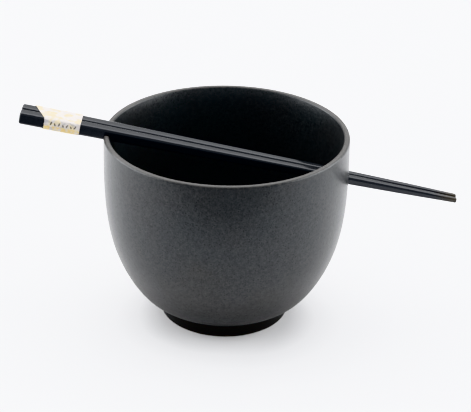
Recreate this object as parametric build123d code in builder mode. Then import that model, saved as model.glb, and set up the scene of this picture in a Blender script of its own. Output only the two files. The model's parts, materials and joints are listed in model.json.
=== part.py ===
"""Stoneware rice bowl with a pair of chopsticks laid across it.

Millimetres. The origin is on the bowl's axis, on the plane that the foot ring stands on.
+Z is up. +X runs along the chopsticks, seen from above, towards their tips. The sticks
rest in a shallow notch in the lip at -X and pass down through a hole in the wall at +X.
"""

import os
from math import cos, radians, sin, tan

from build123d import *

# Bowl
rim_height = 99.3
rim_radius = 61.5
lip_width = 2.7
lip_rounding = 1.25
floor_height = 11.5
wall_slope_at_foot = 29.0  # degrees above level, of the outer wall where it leaves the foot ring
wall_lean_at_lip = -1.0  # degrees outwards off upright, of the outer wall at the lip
flare_at_lip = 18.0  # degrees outwards off upright, of the inner wall at the lip

# Points that the wall passes through: (radius, height)
outer_wall = [(41.3, 11.9), (45.6, 16.4), (51.4, 25.4), (57.4, 40.0), (61.0, 60.0), (61.7, 88.0)]
inner_wall = [(57.0, 89.0), (56.55, 78.0), (55.8, 59.0), (52.4, 41.0), (46.6, 27.5), (38.2, 17.9), (24.0, 12.6)]

# Foot ring
foot_top_radius = 33.7
foot_top_height = 7.3
foot_top_rounding = 1.2
foot_outer_radius = 32.9
foot_inner_radius = 27.6
foot_edge_rounding = 0.8
foot_recess_depth = 4.8
foot_recess_rounding = 2.2

# Chopsticks
stick_length = 223.3
stick_drop = 10.46  # degrees that the pair slopes down towards its tips
stick_axis_height = 87.6  # of the pair's centre line, where it crosses the bowl's axis
thick_end_reach = 104.6  # along the centre line, from the bowl's axis to the thick ends
thick_end_pitch = 6.85  # between the two sticks' centres
tip_pitch = 4.05
stick_sections = [(0, 6.2), (45, 6.0), (95, 5.3), (140, 4.75), (180, 4.05), (stick_length, 2.5)]
thick_corner_share = 0.2  # corner radius as a share of the stick's width
tip_corner_share = 0.3
thick_end_rounding = 1.15
tip_rounding = 0.65

# Notch in the lip
notch_width = 13.4
notch_floor_corner = 1.6
notch_top_corner = 1.6
notch_gap = 0.15  # below the sticks
notch_reach = 12.0  # of the cut, each way along the sticks from the middle of the lip

# Hole in the wall
hole_radius = 5.8
hole_rise = 0.9  # of its centre above the pair's centre line, at mid-wall
hole_edge_rounding = 1.1

# Paper band
band_gap = 0.2
band_thickness = 0.25
band_front_start = 12.8  # along the sticks, from their thick ends
band_rear_start = 6.0
band_end = 30.5

# The pair's own plane: its normal runs down the sticks, its x is +Y and its y is upwards
drop = radians(stick_drop)
along = Vector(cos(drop), 0, -sin(drop))
thick_end = Vector(0, 0, stick_axis_height) - along * thick_end_reach
pair_plane = Plane(origin=thick_end, x_dir=(0, 1, 0), z_dir=along)

lip_middle_radius = rim_radius - lip_width / 2
hole_height = stick_axis_height - lip_middle_radius * tan(drop) + hole_rise
notch_distance = thick_end_reach - lip_middle_radius / cos(drop)


def unit_vector(angle):
    """A direction in the bowl's section, in degrees from level and outwards."""
    return (cos(radians(angle)), sin(radians(angle)))


def corner(sketch, radius, height):
    """The corner of the bowl's section nearest to a point."""
    return sketch.vertices().sort_by_distance((radius, height, 0))[0]


def at(distance):
    """The pair's plane moved down the sticks, to a distance from their thick ends."""
    return pair_plane.offset(distance)


def stick_width(distance):
    """Width of one stick at a distance from its thick end, between the named sections."""
    for (start, wide), (end, narrow) in zip(stick_sections, stick_sections[1:]):
        if start <= distance <= end:
            return wide + (narrow - wide) * (distance - start) / (end - start)


# Bowl: half of its section turned about its axis, then the hole and the notch
with BuildPart() as bowl:
    with BuildSketch(Plane.YZ) as section:
        with BuildLine():
            foot_top = (foot_top_radius, foot_top_height)
            foot_outer = (foot_outer_radius, 0)
            foot_inner = (foot_inner_radius, 0)
            recess_edge = (foot_inner_radius, foot_recess_depth)
            lip_outer = (rim_radius, rim_height)
            lip_inner = (rim_radius - lip_width, rim_height)
            outer_ends = [unit_vector(wall_slope_at_foot), unit_vector(90 - wall_lean_at_lip)]
            inner_ends = [unit_vector(-90 - flare_at_lip), unit_vector(180)]
            Spline(foot_top, *outer_wall, lip_outer, tangents=outer_ends, tangent_scalars=(1, 1))
            Line(lip_outer, lip_inner)
            Spline(lip_inner, *inner_wall, (0, floor_height), tangents=inner_ends, tangent_scalars=(1, 1))
            Polyline((0, floor_height), (0, foot_recess_depth), recess_edge, foot_inner)
            Polyline(foot_inner, foot_outer, foot_top)
        make_face()
        fillet(corner(section, *foot_top), foot_top_rounding)
        fillet(corner(section, *foot_outer), foot_edge_rounding)
        fillet(corner(section, *foot_inner), foot_edge_rounding)
        fillet(corner(section, *recess_edge), foot_recess_rounding)
    revolve(axis=Axis.Z)

    # Hole for the tips, level, through the wall at +X
    with BuildSketch(Plane.YZ.offset(rim_radius / 2)):
        with Locations((0, hole_height)):
            Circle(hole_radius)
    extrude(amount=rim_radius, mode=Mode.SUBTRACT)
    hole_middle = Vector(lip_middle_radius, 0, hole_height)
    near_hole = bowl.edges().filter_by(lambda edge: (edge.center() - hole_middle).length < 2 * hole_radius)
    fillet(near_hole.filter_by(GeomType.LINE, reverse=True), hole_edge_rounding)

    # Notch for the thick ends, through the lip at -X and aslant as the sticks are
    notch_floor = -stick_width(notch_distance) / 2 - notch_gap
    with BuildSketch(at(notch_distance - notch_reach)):
        with Locations((0, notch_floor + notch_width / 2)):
            RectangleRounded(notch_width, notch_width, notch_floor_corner)
    extrude(amount=2 * notch_reach, mode=Mode.SUBTRACT)
    top_corners = bowl.edges().filter_by(GeomType.LINE).group_by(Axis.Z)[-1]
    fillet(top_corners, notch_top_corner)

    # The lip's rounding runs on down through the notch
    lip_edges = bowl.edges().filter_by_position(Axis.Z, rim_height - notch_width / 2, rim_height)
    fillet(lip_edges.filter_by(GeomType.LINE, reverse=True), lip_rounding)
bowl.part.label = "bowl"


def make_stick(name, side):
    """One tapered stick. Side is 1 for the stick at +Y and -1 for the one at -Y."""
    thick = at(0).from_local_coords((side * thick_end_pitch / 2, 0, 0))
    tip = at(stick_length).from_local_coords((side * tip_pitch / 2, 0, 0))
    direction = (tip - thick).normalized()
    with BuildPart() as stick:
        for distance, width in stick_sections:
            towards_tip = distance / stick_length
            corner_share = thick_corner_share + (tip_corner_share - thick_corner_share) * towards_tip
            centre = thick + direction * distance
            with BuildSketch(Plane(origin=centre, x_dir=(0, 1, 0), z_dir=direction)):
                RectangleRounded(width, width, width * corner_share)
        loft()
        thick_face = stick.faces().sort_by_distance(thick)[0]
        fillet(thick_face.edges(), thick_end_rounding)
        tip_face = stick.faces().sort_by_distance(tip)[0]
        fillet(tip_face.edges(), tip_rounding)
    stick.part.label = name
    return stick


chopstick_front = make_stick("chopstick_front", -1)
chopstick_rear = make_stick("chopstick_rear", 1)

# Paper band: a sleeve round both sticks, cut aslant at the end nearer their thick ends
band_width = thick_end_pitch + stick_width(0) + 2 * (band_gap + band_thickness)
band_height = stick_width(0) + 2 * (band_gap + band_thickness)
band_corner = stick_width(0) * thick_corner_share + band_gap + band_thickness
with BuildPart() as paper_band:
    with BuildSketch(at(band_rear_start)) as band_section:
        RectangleRounded(band_width, band_height, band_corner)
        offset(amount=-band_thickness, mode=Mode.SUBTRACT)
    extrude(amount=band_end - band_rear_start)
    front_side = at(band_front_start).from_local_coords((-band_width / 2, 0, 0))
    rear_side = at(band_rear_start).from_local_coords((band_width / 2, 0, 0))
    slant = rear_side - front_side
    split(bisect_by=Plane(origin=front_side, x_dir=slant, z_dir=slant.cross(pair_plane.y_dir)))
paper_band.part.label = "paper_band"

os.makedirs("parts", exist_ok=True)
for piece in (bowl, chopstick_front, chopstick_rear, paper_band):
    export_step(piece.part, f"parts/{piece.part.label}.step")
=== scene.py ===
"""Rice bowl with chopsticks: its glaze, lacquer and paper band, and a plain studio round it.

Metres, in the CAD model's frame: the bowl stands on z = 0 with its axis at the origin, and the
chopsticks run along +X towards their tips.
"""

import json
from math import asin, cos, pi, radians, sin

import bmesh
import bpy
from mathutils import Matrix, Vector, noise as perlin


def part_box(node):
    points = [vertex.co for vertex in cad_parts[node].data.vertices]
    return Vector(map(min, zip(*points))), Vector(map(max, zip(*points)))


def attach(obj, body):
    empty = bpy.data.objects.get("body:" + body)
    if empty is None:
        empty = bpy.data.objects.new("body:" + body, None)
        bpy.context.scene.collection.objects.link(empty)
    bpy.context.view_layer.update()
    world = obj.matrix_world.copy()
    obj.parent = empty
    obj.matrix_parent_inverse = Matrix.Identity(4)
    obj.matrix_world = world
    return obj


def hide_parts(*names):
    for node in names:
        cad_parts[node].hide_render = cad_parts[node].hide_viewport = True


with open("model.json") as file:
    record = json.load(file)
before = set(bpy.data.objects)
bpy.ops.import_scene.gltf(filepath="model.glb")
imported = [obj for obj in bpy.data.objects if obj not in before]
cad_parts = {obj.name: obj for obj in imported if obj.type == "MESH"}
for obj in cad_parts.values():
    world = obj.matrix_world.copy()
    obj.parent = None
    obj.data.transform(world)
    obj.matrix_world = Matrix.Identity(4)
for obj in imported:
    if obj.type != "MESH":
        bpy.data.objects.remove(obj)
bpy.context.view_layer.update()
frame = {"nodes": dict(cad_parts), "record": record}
nodes = frame["nodes"]
MM = 0.001

bowl_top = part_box("bowl")[1].z
stick_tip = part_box("chopstick_front")[1].x
band_low, band_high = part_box("paper_band")

# The line that the pair of chopsticks lies along, towards their tips, and the upward one square to it
drop = asin(frame["record"]["behaviour"]["joints"][0]["axis"][2])
along = Vector((cos(drop), 0, -sin(drop)))
upward = Vector((sin(drop), 0, cos(drop)))


# Node helpers

def new_material(name):
    """An empty node material: the material, its tree and its Principled shader."""
    material = bpy.data.materials.new(name)
    material.use_nodes = True
    tree = material.node_tree
    return material, tree, tree.nodes["Principled BSDF"]


def add(tree, kind, settings=None, **inputs):
    """A node of one kind, with its settings, and with a value or a link for each input named.

    An input is named as its socket is, or _0, _1 and so on by its place.
    """
    node = tree.nodes.new(kind)
    for key, value in (settings or {}).items():
        setattr(node, key, value)
    for key, value in inputs.items():
        by_place = key[1:].isdigit()
        socket = node.inputs[int(key[1:])] if by_place else node.inputs[key]
        if isinstance(value, bpy.types.NodeSocket):
            tree.links.new(value, socket)
        else:
            socket.default_value = value
    return node


def ramp(tree, factor, stops):
    """A colour ramp over (position, colour) stops, where a plain number is a grey."""
    node = add(tree, "ShaderNodeValToRGB", _0=factor)
    elements = node.color_ramp.elements
    for index, (position, colour) in enumerate(stops):
        element = elements[index] if index < 2 else elements.new(position)
        element.position = position
        element.color = (*colour, 1) if isinstance(colour, tuple) else (colour, colour, colour, 1)
    return node.outputs["Color"]


def mix_colour(tree, factor, first, second, blend="MIX"):
    """Two colours mixed, each a socket or an (r, g, b)."""
    node = tree.nodes.new("ShaderNodeMix")
    node.data_type = "RGBA"
    node.blend_type = blend
    # The node has a set of sockets for each data type: the colours are inputs 6 and 7 and output 2
    for index, value in ((0, factor), (6, first), (7, second)):
        if isinstance(value, bpy.types.NodeSocket):
            tree.links.new(value, node.inputs[index])
        elif isinstance(value, tuple):
            node.inputs[index].default_value = (*value, 1)
        else:
            node.inputs[index].default_value = value
    return node.outputs[2]


def maths(tree, operation, first, second):
    """One maths node's result."""
    return add(tree, "ShaderNodeMath", {"operation": operation}, _0=first, _1=second).outputs[0]


def shader_values(shader, values):
    """Sets the shader's own uniform values by socket name."""
    for name, value in values.items():
        shader.inputs[name].default_value = value


def shader_links(tree, shader, links):
    """Links results to the shader's sockets by name."""
    for name, result in links.items():
        tree.links.new(result, shader.inputs[name])


def bump(tree, relief, strength, depth):
    """The normal of a bumpy surface, from its relief."""
    return add(tree, "ShaderNodeBump", Strength=strength, Distance=depth, Height=relief).outputs["Normal"]


def spread(tree, value, low, high, to_low=0.0, to_high=1.0):
    """A value carried smoothly from one range to another and held at its ends."""
    node = add(tree, "ShaderNodeMapRange", {"interpolation_type": "SMOOTHSTEP"}, Value=value)
    for name, number in (("From Min", low), ("From Max", high), ("To Min", to_low), ("To Max", to_high)):
        node.inputs[name].default_value = number
    return node.outputs[0]


def noise(tree, where, size, detail=2.0, roughness=0.5):
    """Noise whose features are about size metres across."""
    node = add(tree, "ShaderNodeTexNoise", Vector=where, Scale=1 / size, Detail=detail, Roughness=roughness)
    return node.outputs["Fac"]


def specks(tree, where, spacing, share, radius):
    """Round specks: the spacing of their cells, the share of cells with one, and their radius."""
    cells = add(tree, "ShaderNodeTexVoronoi", Vector=where, Scale=1 / spacing)
    edge = radius / spacing
    chosen = add(tree, "ShaderNodeSeparateColor", _0=cells.outputs["Color"]).outputs[0]
    spot = spread(tree, cells.outputs["Distance"], 0.6 * edge, 1.3 * edge, 1.0, 0.0)
    return maths(tree, "MULTIPLY", spot, spread(tree, chosen, share, share + 0.02, 1.0, 0.0))


# Materials

def stoneware_glaze():
    """Satin black glaze: blue-black with greyer clouds, fine grain, pinholes and pale specks.

    It is thin, warm and paler on the rim's edge, the paleness partly a painted highlight; it is
    browner and duller towards the foot, the dullness partly painted shade and the darker foot
    ring painted shade; and bare clay shows where the foot ring stands.
    """
    material, tree, shader = new_material("black_stoneware_glaze")
    where = add(tree, "ShaderNodeTexCoord").outputs["Object"]
    height = add(tree, "ShaderNodeSeparateXYZ", Vector=where).outputs["Z"]

    clouds = noise(tree, where, 24 * MM, 3)
    colour = ramp(tree, clouds, [(0.35, (0.0045, 0.0062, 0.0070)), (0.68, (0.0075, 0.0075, 0.0075))])
    mottle = noise(tree, where, 1.7 * MM, 2)
    colour = mix_colour(tree, 1.0, colour, ramp(tree, mottle, [(0.34, 0.0), (0.68, 0.012)]), "ADD")
    grain = noise(tree, where, 0.75 * MM, 2)
    colour = mix_colour(tree, 1.0, colour, ramp(tree, grain, [(0.40, 0.0), (0.68, 0.016)]), "ADD")
    pinholes = specks(tree, where, 1.25 * MM, 0.45, 0.36 * MM)
    colour = mix_colour(tree, pinholes, colour, (0.0, 0.0, 0.0))
    pale = specks(tree, where, 2.6 * MM, 0.30, 0.30 * MM)
    colour = mix_colour(tree, maths(tree, "MULTIPLY", pale, 0.5), colour, (0.060, 0.058, 0.052))

    # Along the rim: thin warm glaze, its paler colour partly a painted highlight
    ragged = maths(tree, "MULTIPLY", maths(tree, "SUBTRACT", mottle, 0.5), 1.2 * MM)
    level = maths(tree, "ADD", height, ragged)
    lip_glaze_and_highlight = spread(tree, level, bowl_top - 0.8 * MM, bowl_top - 0.1 * MM)
    colour = mix_colour(tree, lip_glaze_and_highlight, colour, (0.042, 0.038, 0.034))
    # The foot ring: its darker, even colour is painted shade, standing in for the dim floor it mirrors
    foot_painted_shade = spread(tree, level, 6.0 * MM, 7.6 * MM, 1.0, 0.0)
    colour = mix_colour(tree, foot_painted_shade, colour, (0.007, 0.007, 0.007))
    clay = spread(tree, level, 0.25 * MM, 0.7 * MM, 1.0, 0.0)
    bare = ramp(tree, grain, [(0.3, (0.05, 0.038, 0.030)), (0.7, (0.10, 0.078, 0.062))])
    colour = mix_colour(tree, clay, colour, bare)

    # The gloss: bluish above, browner and weaker towards the foot; the weakening is partly thinner glaze
    # and partly painted shade, for the shadowed floor that the lower wall mirrors
    drift = maths(tree, "MULTIPLY", maths(tree, "SUBTRACT", clouds, 0.5), 90 * MM)
    warm = spread(tree, maths(tree, "ADD", height, drift), 14.0 * MM, 66.0 * MM, 1.0, 0.0)
    tint = mix_colour(tree, warm, (0.90, 0.95, 1.0), (1.0, 0.95, 0.90))
    coat_thinning_and_shade = spread(tree, level, 14.0 * MM, 42.0 * MM, 0.0, 0.22)
    reflection_thinning_and_shade = spread(tree, level, 9.0 * MM, 38.0 * MM, 0.15, 0.46)
    roughness = ramp(tree, grain, [(0.3, 0.35), (0.7, 0.45)])
    roughness = mix_colour(tree, clay, roughness, (0.8, 0.8, 0.8))

    relief = maths(tree, "ADD", maths(tree, "MULTIPLY", grain, 0.4), maths(tree, "MULTIPLY", mottle, 0.6))
    relief = maths(tree, "SUBTRACT", relief, maths(tree, "MULTIPLY", pinholes, 0.35))
    shader_values(shader, {"IOR": 1.48, "Coat Roughness": 0.2})
    shader_links(tree, shader, {
        "Base Color": colour,
        "Specular Tint": tint,
        "Coat Weight": coat_thinning_and_shade,
        "Specular IOR Level": reflection_thinning_and_shade,
        "Roughness": roughness,
        "Normal": bump(tree, relief, 0.55, 0.07 * MM),
    })
    return material


def lacquer():
    """Glossy black lacquer over wood, rubbed dull and brown at the tips."""
    material, tree, shader = new_material("black_lacquer_finish")
    where = add(tree, "ShaderNodeTexCoord").outputs["Object"]
    reach = add(tree, "ShaderNodeSeparateXYZ", Vector=where).outputs["X"]
    lengthways = add(tree, "ShaderNodeMapping", Vector=where, Rotation=(0, drop, 0),
                     Scale=(0.06, 1, 1)).outputs[0]
    streaks = noise(tree, lengthways, 0.7 * MM, 3)
    smears = noise(tree, where, 7 * MM, 2)
    uneven = maths(tree, "MULTIPLY", maths(tree, "SUBTRACT", smears, 0.5), 6 * MM)
    worn = spread(tree, maths(tree, "ADD", reach, uneven), stick_tip - 14 * MM, stick_tip - 1 * MM)
    colour = ramp(tree, streaks, [(0.35, (0.0035, 0.0045, 0.0065)), (0.70, (0.0075, 0.0080, 0.0100))])
    wood = ramp(tree, streaks, [(0.35, (0.018, 0.014, 0.008)), (0.70, (0.040, 0.030, 0.018))])
    gloss = ramp(tree, smears, [(0.35, 0.08), (0.70, 0.13)])
    shader_values(shader, {
        "IOR": 1.46,
        "Specular Tint": (0.90, 0.94, 1.0, 1),
        "Coat Weight": 0.2,
        "Coat Roughness": 0.06,
    })
    shader_links(tree, shader, {
        "Base Color": mix_colour(tree, worn, colour, wood),
        "Roughness": mix_colour(tree, worn, gloss, (0.38, 0.38, 0.38)),
        "Normal": bump(tree, streaks, 0.08, 0.02 * MM),
    })
    return material


def washi(middle, half_wide):
    """Cream handmade paper: long fibres, gold patches, faint brush strokes, and ink dabs in front.

    middle is the centre of the band's straight end, and half_wide its half width there.
    """
    material, tree, shader = new_material("washi_paper_sheet")
    where = add(tree, "ShaderNodeTexCoord").outputs["Object"]
    local = add(tree, "ShaderNodeMapping", {"vector_type": "TEXTURE"}, Vector=where, Location=middle,
                Rotation=(0, drop, 0)).outputs[0]
    _, across, rise = add(tree, "ShaderNodeSeparateXYZ", Vector=local).outputs

    # Print: broad faint gold and grey on top, stronger gold low on the front
    pulp = noise(tree, where, 2.2 * MM, 4, 0.6)
    colour = ramp(tree, pulp, [(0.3, (0.54, 0.505, 0.49)), (0.7, (0.70, 0.665, 0.64))])
    patches = noise(tree, where, 3.4 * MM, 2)
    colour = mix_colour(tree, spread(tree, patches, 0.48, 0.58, 0.0, 0.60), colour, (0.74, 0.62, 0.34))
    strokes = add(tree, "ShaderNodeMapping", Vector=local, Scale=(0.35, 1, 1)).outputs[0]
    grey = noise(tree, strokes, 1.5 * MM, 2)
    colour = mix_colour(tree, spread(tree, grey, 0.54, 0.61, 0.0, 0.50), colour, (0.34, 0.34, 0.37))
    front = spread(tree, across, -half_wide + 0.2 * MM, -half_wide + 1.2 * MM, 1.0, 0.0)
    low = spread(tree, rise, -0.9 * MM, 0.1 * MM, 1.0, 0.0)
    leaves = spread(tree, noise(tree, local, 1.5 * MM, 2), 0.46, 0.54)
    gold = maths(tree, "MULTIPLY", maths(tree, "MULTIPLY", front, low), leaves)
    colour = mix_colour(tree, maths(tree, "MULTIPLY", gold, 0.80), colour, (0.74, 0.54, 0.17))

    # Ink dabs: an even row, tall and short by turns and leaning both ways, with wavering edges
    waver = 0.7 * MM
    wander = add(tree, "ShaderNodeTexNoise", Vector=local, Scale=1 / (0.8 * MM)).outputs["Color"]
    shake = add(tree, "ShaderNodeVectorMath", {"operation": "MULTIPLY_ADD"}, _0=wander,
                _1=(waver, 0, waver), _2=local).outputs[0]
    ink = 0.0
    for index in range(7):
        place = (2.4 + 2.0 * index) * MM
        level, half_height, tilt = (0.9, 1.1, 22) if index % 2 == 0 else (0.6, 0.8, -22)
        shape = add(tree, "ShaderNodeMapping", {"vector_type": "TEXTURE"}, Vector=shake,
                    Location=(waver / 2 - place, -half_wide, level * MM + waver / 2),
                    Rotation=(0, radians(tilt), 0), Scale=(0.42 * MM, 1.2 * MM, half_height * MM))
        from_middle = add(tree, "ShaderNodeVectorMath", {"operation": "LENGTH"}, _0=shape.outputs[0])
        dab = spread(tree, from_middle.outputs["Value"], 0.75, 1.15, 1.0, 0.0)
        ink = maths(tree, "MAXIMUM", dab, ink)
    colour = mix_colour(tree, maths(tree, "MULTIPLY", ink, 0.95), colour, (0.045, 0.040, 0.024))

    # Fibres laid every way
    fibres = 0.0
    for turn, scale in ((12, 1.0), (75, 1.3), (-50, 0.8)):
        laid = add(tree, "ShaderNodeMapping", Vector=local, Rotation=[radians(turn)] * 3,
                   Scale=(0.07 * scale, scale, scale)).outputs[0]
        strand = spread(tree, noise(tree, laid, 0.55 * MM, 1), 0.62, 0.72)
        fibres = maths(tree, "MAXIMUM", strand, fibres)
    colour = mix_colour(tree, maths(tree, "MULTIPLY", fibres, 0.30), colour, (0.60, 0.54, 0.44))

    relief = maths(tree, "ADD", maths(tree, "MULTIPLY", pulp, 0.6), maths(tree, "MULTIPLY", fibres, 0.5))
    shader_values(shader, {"Roughness": 0.85, "Specular IOR Level": 0.3, "Sheen Weight": 0.15})
    shader_links(tree, shader, {"Base Color": colour, "Normal": bump(tree, relief, 0.5, 0.06 * MM)})
    return material


def dress(node, material):
    """Gives a CAD node one material."""
    node.data.materials.clear()
    node.data.materials.append(material)


# Paper band

BAND_HALF_HIGH = 3.55 * MM
BAND_FRONT_LENGTH = 17.7 * MM  # down the front side, from the straight end to the slanted one
BAND_REAR_LENGTH = 24.5 * MM
PAPER = 0.16 * MM
band_half_wide = band_high.y
# The middle of the straight end
band_end = Vector((band_high.x - BAND_HALF_HIGH * sin(drop), 0, band_low.z + BAND_HALF_HIGH * cos(drop)))


def smooth_step(value):
    """0 below 0, 1 above 1, and a smooth rise between."""
    value = min(max(value, 0.0), 1.0)
    return value * value * (3 - 2 * value)


def band_outline():
    """The strip's path round both sticks: a point and its outward direction, each (y, rise).

    It starts under the middle, goes round by the front and over the top, winds out by a little
    more than its own thickness, and ends in a lap under its start.
    """
    wind = 0.19 * MM  # outwards over the whole path
    corner = 1.35 * MM
    lap = 4.5 * MM
    step = 0.4 * MM
    flat_y = band_half_wide - wind - PAPER / 2 - corner
    flat_rise = BAND_HALF_HIGH - wind - PAPER / 2 - corner
    knots = [Vector((0, -flat_rise - corner))]
    for side, level, start in ((-1, -1, 270), (-1, 1, 180), (1, 1, 90), (1, -1, 0)):
        for turn in range(0, 91, 15):
            angle = radians(start - turn)
            centre = Vector((side * flat_y, level * flat_rise))
            knots.append(centre + corner * Vector((cos(angle), sin(angle))))
    knots.append(Vector((-lap, -flat_rise - corner)))
    path = [knots[0]]
    for first, second in zip(knots, knots[1:]):
        count = max(1, round((second - first).length / step))
        path += [first.lerp(second, index / count) for index in range(1, count + 1)]
    outline = []
    for index, point in enumerate(path):
        ahead = path[min(index + 1, len(path) - 1)] - path[max(index - 1, 0)]
        outward = Vector((-ahead.y, ahead.x)).normalized()
        share = index / (len(path) - 1)
        outline.append((point + outward * wind * share, outward))
    return outline


def paper_sleeve(material):
    """The band as one strip of paper: wound round the pair, lapped underneath, one end cut aslant."""
    rows = 44
    taper = 0.25 * MM  # in at each side, at the straight end
    valley = 0.14 * MM  # down, where the top crosses from stick to stick
    valley_half_width = 2.2 * MM
    dent_depth = 0.05 * MM
    dent_size = 3.0 * MM
    fray_depth = 0.10 * MM
    fray_size = 0.7 * MM

    # Across the strip: out along its outer face, and back along its inner one
    outline = band_outline()
    ring = [(point, outward, 1) for point, outward in outline]
    ring += [(point, outward, -1) for point, outward in reversed(outline)]

    mesh = bmesh.new()
    grid = []
    for row in range(rows + 1):
        way = row / rows
        line = []
        for point, outward, face in ring:
            narrow = 1 - (1 - way) * taper / band_half_wide
            across = point.x * narrow
            sunk = valley * smooth_step(1 - abs(point.x) / valley_half_width) if point.y > 0 else 0.0
            spot = Vector((across, point.y, way * BAND_REAR_LENGTH)) / dent_size
            dent = dent_depth * (perlin.noise(spot) - 1) * (0.4 + 0.6 * abs(outward.y))
            slant = (across / band_half_wide + 1) / 2
            length = BAND_FRONT_LENGTH + (BAND_REAR_LENGTH - BAND_FRONT_LENGTH) * slant
            fray = fray_depth * perlin.noise(Vector((across, point.y, way)) / fray_size)
            distance = way * length
            if row == 0:
                distance += abs(fray)
            elif row == rows:
                distance += fray
            shift = face * PAPER / 2 + dent
            y = across + outward.x * shift
            rise = point.y - sunk + outward.y * shift
            line.append(mesh.verts.new(band_end - along * distance + upward * rise + Vector((0, y, 0))))
        grid.append(line)

    # The strip's faces and edges, then its two cut ends
    count = len(ring)
    for line, next_line in zip(grid, grid[1:]):
        for index in range(count):
            beyond = (index + 1) % count
            mesh.faces.new((line[index], line[beyond], next_line[beyond], next_line[index]))
    for line in (grid[0], grid[-1]):
        for index in range(len(outline) - 1):
            back = count - 1 - index
            mesh.faces.new((line[index], line[index + 1], line[back - 1], line[back]))
    bmesh.ops.recalc_face_normals(mesh, faces=mesh.faces)

    data = bpy.data.meshes.new("washi_sleeve")
    mesh.to_mesh(data)
    mesh.free()
    data.polygons.foreach_set("use_smooth", [True] * len(data.polygons))
    data.set_sharp_from_angle(angle=radians(50))
    data.materials.append(material)
    sleeve = bpy.data.objects.new("washi_sleeve", data)
    bpy.context.scene.collection.objects.link(sleeve)
    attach(sleeve, "band")
    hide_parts("paper_band")


dress(nodes["bowl"], stoneware_glaze())
stick_finish = lacquer()
dress(nodes["chopstick_front"], stick_finish)
dress(nodes["chopstick_rear"], stick_finish)
paper_sleeve(washi(band_end, band_half_wide))


# Studio

def floor_sweep():
    """A pale table top, with its edge a hand's length in front of the bowl, swept up behind it."""
    half_width = 3.0
    front = -0.212
    back = 2.2
    bend = 0.3
    top = 0.9
    profile = [(front, 0.0), (back, 0.0)]
    steps = 12
    for step in range(1, steps + 1):
        turn = pi / 2 * step / steps
        profile.append((back + bend * sin(turn), bend * (1 - cos(turn))))
    profile.append((back + bend, top))
    vertices = [(side * half_width, y, z) for y, z in profile for side in (-1, 1)]
    faces = [(2 * i, 2 * i + 1, 2 * i + 3, 2 * i + 2) for i in range(len(profile) - 1)]
    mesh = bpy.data.meshes.new("studio_floor")
    mesh.from_pydata(vertices, [], faces)
    mesh.polygons.foreach_set("use_smooth", [True] * len(faces))
    floor = bpy.data.objects.new("studio_floor", mesh)
    bpy.context.scene.collection.objects.link(floor)
    material, _, shader = new_material("studio_paper")
    pale = (0.86, 0.86, 0.87, 1)
    shader_values(shader, {"Base Color": pale, "Roughness": 0.9, "Specular IOR Level": 0.2})
    mesh.materials.append(material)


def softbox(name, place, size, energy):
    """A rectangular soft light aimed at the bowl."""
    light = bpy.data.lights.new(name, "AREA")
    light.shape = "RECTANGLE"
    light.size, light.size_y = size
    light.energy = energy
    lamp = bpy.data.objects.new(name, light)
    lamp.location = place
    aim = Vector((0, 0.05, 0.05))
    lamp.rotation_euler = (aim - lamp.location).to_track_quat("-Z", "Y").to_euler()
    bpy.context.scene.collection.objects.link(lamp)


def sky():
    """Soft light from above and behind, dim in front, with a pale backdrop that only the camera sees."""
    world = bpy.data.worlds.new("studio_sky")
    world.use_nodes = True
    tree = world.node_tree
    direction = add(tree, "ShaderNodeTexCoord").outputs["Generated"]
    _, depth, height = add(tree, "ShaderNodeSeparateXYZ", Vector=direction).outputs
    front_strength = 0.48
    above_strength = 0.80
    behind_strength = 1.15
    backdrop_strength = 1.7
    behind = spread(tree, depth, -0.40, 0.15, front_strength, behind_strength)
    above = spread(tree, height, -0.10, 0.10, front_strength, above_strength)
    light = maths(tree, "MAXIMUM", behind, above)
    seen = add(tree, "ShaderNodeLightPath").outputs["Is Camera Ray"]
    backdrop = maths(tree, "MULTIPLY", seen, backdrop_strength)
    background = tree.nodes["Background"]
    background.inputs["Color"].default_value = (0.97, 0.98, 1.0, 1)
    tree.links.new(maths(tree, "MAXIMUM", light, backdrop), background.inputs["Strength"])
    bpy.context.scene.world = world


def camera():
    """A long lens above the bowl and in front, turned slightly about its own line of sight."""
    aim = Vector((5.0, 0.0, 58.2)) * MM
    distance = 0.798
    azimuth = radians(1.1)
    elevation = radians(27.2)
    roll = radians(1.11)
    back = Vector((sin(azimuth) * cos(elevation), -cos(azimuth) * cos(elevation), sin(elevation)))
    right = Vector((cos(azimuth), sin(azimuth), 0))
    up = back.cross(right)
    turn = Matrix((right, up, back)).transposed() @ Matrix.Rotation(roll, 3, "Z")
    data = bpy.data.cameras.new("camera")
    data.lens = 119.5
    data.sensor_width = 36
    data.clip_start = 0.01
    eye = bpy.data.objects.new("camera", data)
    eye.matrix_world = Matrix.Translation(aim + back * distance) @ turn.to_4x4()
    bpy.context.scene.collection.objects.link(eye)
    bpy.context.scene.camera = eye


floor_sweep()
sky()
softbox("softbox_above", (-0.1, 0.7, 1.5), (2.4, 1.8), 34)
softbox("softbox_left", (-1.45, 0.1, 0.55), (1.6, 1.0), 26)
softbox("softbox_right", (1.45, 0.1, 0.55), (1.6, 1.0), 26)
camera()
bpy.context.scene.view_settings.view_transform = "Khronos PBR Neutral"
